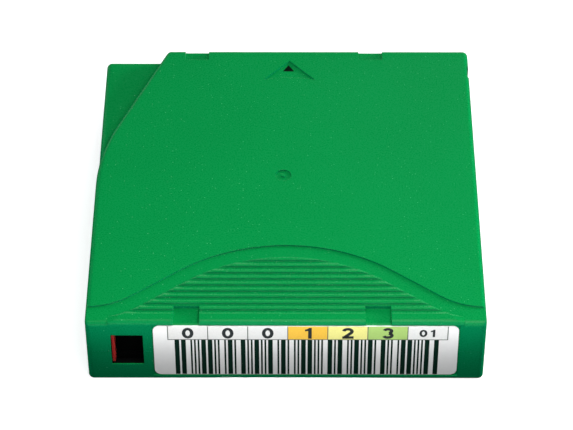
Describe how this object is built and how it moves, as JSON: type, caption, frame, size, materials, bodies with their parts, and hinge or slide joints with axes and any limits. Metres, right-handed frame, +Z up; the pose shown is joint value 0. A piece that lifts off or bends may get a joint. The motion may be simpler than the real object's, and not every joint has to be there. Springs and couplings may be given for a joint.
{
  "type": "data tape cartridge",
  "caption": "Flat square single-reel half-inch tape cartridge: two-part ribbed case with sliding door, sprung reel brake and write-protect tab.",
  "frame": {"origin": "middle of the bottom face of the case's bounding box", "axes": "+Z up through the top face, +Y the way the cartridge goes into a drive, +X away from the door side"},
  "size_m": [0.102, 0.1054, 0.0215],
  "materials": {
    "green_plastic": "fine moulded grain",
    "label_film": "smooth",
    "red_plastic": "satin",
    "black_plastic": "satin",
    "white_plastic": "satin",
    "reel_plastic": "satin",
    "clear_plastic": "smooth",
    "tape_film": "smooth wound edge",
    "plate_steel": "bright",
    "spring_steel": "drawn wire",
    "board": "circuit board"
  },
  "bodies": {
    "case": {"upper_shell": "green_plastic", "lower_shell": "green_plastic", "barcode_label": "label_film", "door_spring": "spring_steel", "brake_spring": "spring_steel", "leader_tape": "tape_film", "leader_pin": "plate_steel", "leader_pin_clip": "spring_steel", "memory_board": "board", "case_screws": "plate_steel"},
    "door": {"door": "black_plastic"},
    "protect_tab": {"write_protect_tab": "red_plastic"},
    "reel": {"reel_hub": "reel_plastic", "reel_upper_flange": "clear_plastic", "clutch_plate": "plate_steel", "tape_pack": "tape_film"},
    "release": {"release_plate": "white_plastic"},
    "brake": {"reel_brake": "black_plastic"}
  },
  "joints": [
    {"name": "door_slide", "type": "slide", "parent": "case", "child": "door", "axis": [0, -1, 0], "range_m": [0, 0.019], "stiffness_N_per_m": 20, "springref_m": -0.015, "deforming": ["door_spring"]},
    {"name": "protect_slide", "type": "slide", "parent": "case", "child": "protect_tab", "axis": [1, 0, 0], "range_m": [0, 0.0054]},
    {"name": "reel_spin", "type": "hinge", "parent": "case", "child": "reel", "pos_m": [0, 0, 0.009], "axis": [0, 0, 1], "continuous": true},
    {"name": "brake_lift", "type": "slide", "parent": "case", "child": "brake", "axis": [0, 0, 1], "range_m": [0, 0.0018], "stiffness_N_per_m": 400, "springref_m": -0.004, "deforming": ["brake_spring"]},
    {"name": "release_lift", "type": "slide", "parent": "reel", "child": "release", "axis": [0, 0, 1], "range_m": [0, 0.0018]}
  ],
  "couplings": [
    {"joint": "release_lift", "follows": "brake_lift", "ratio": 1}
  ]
}
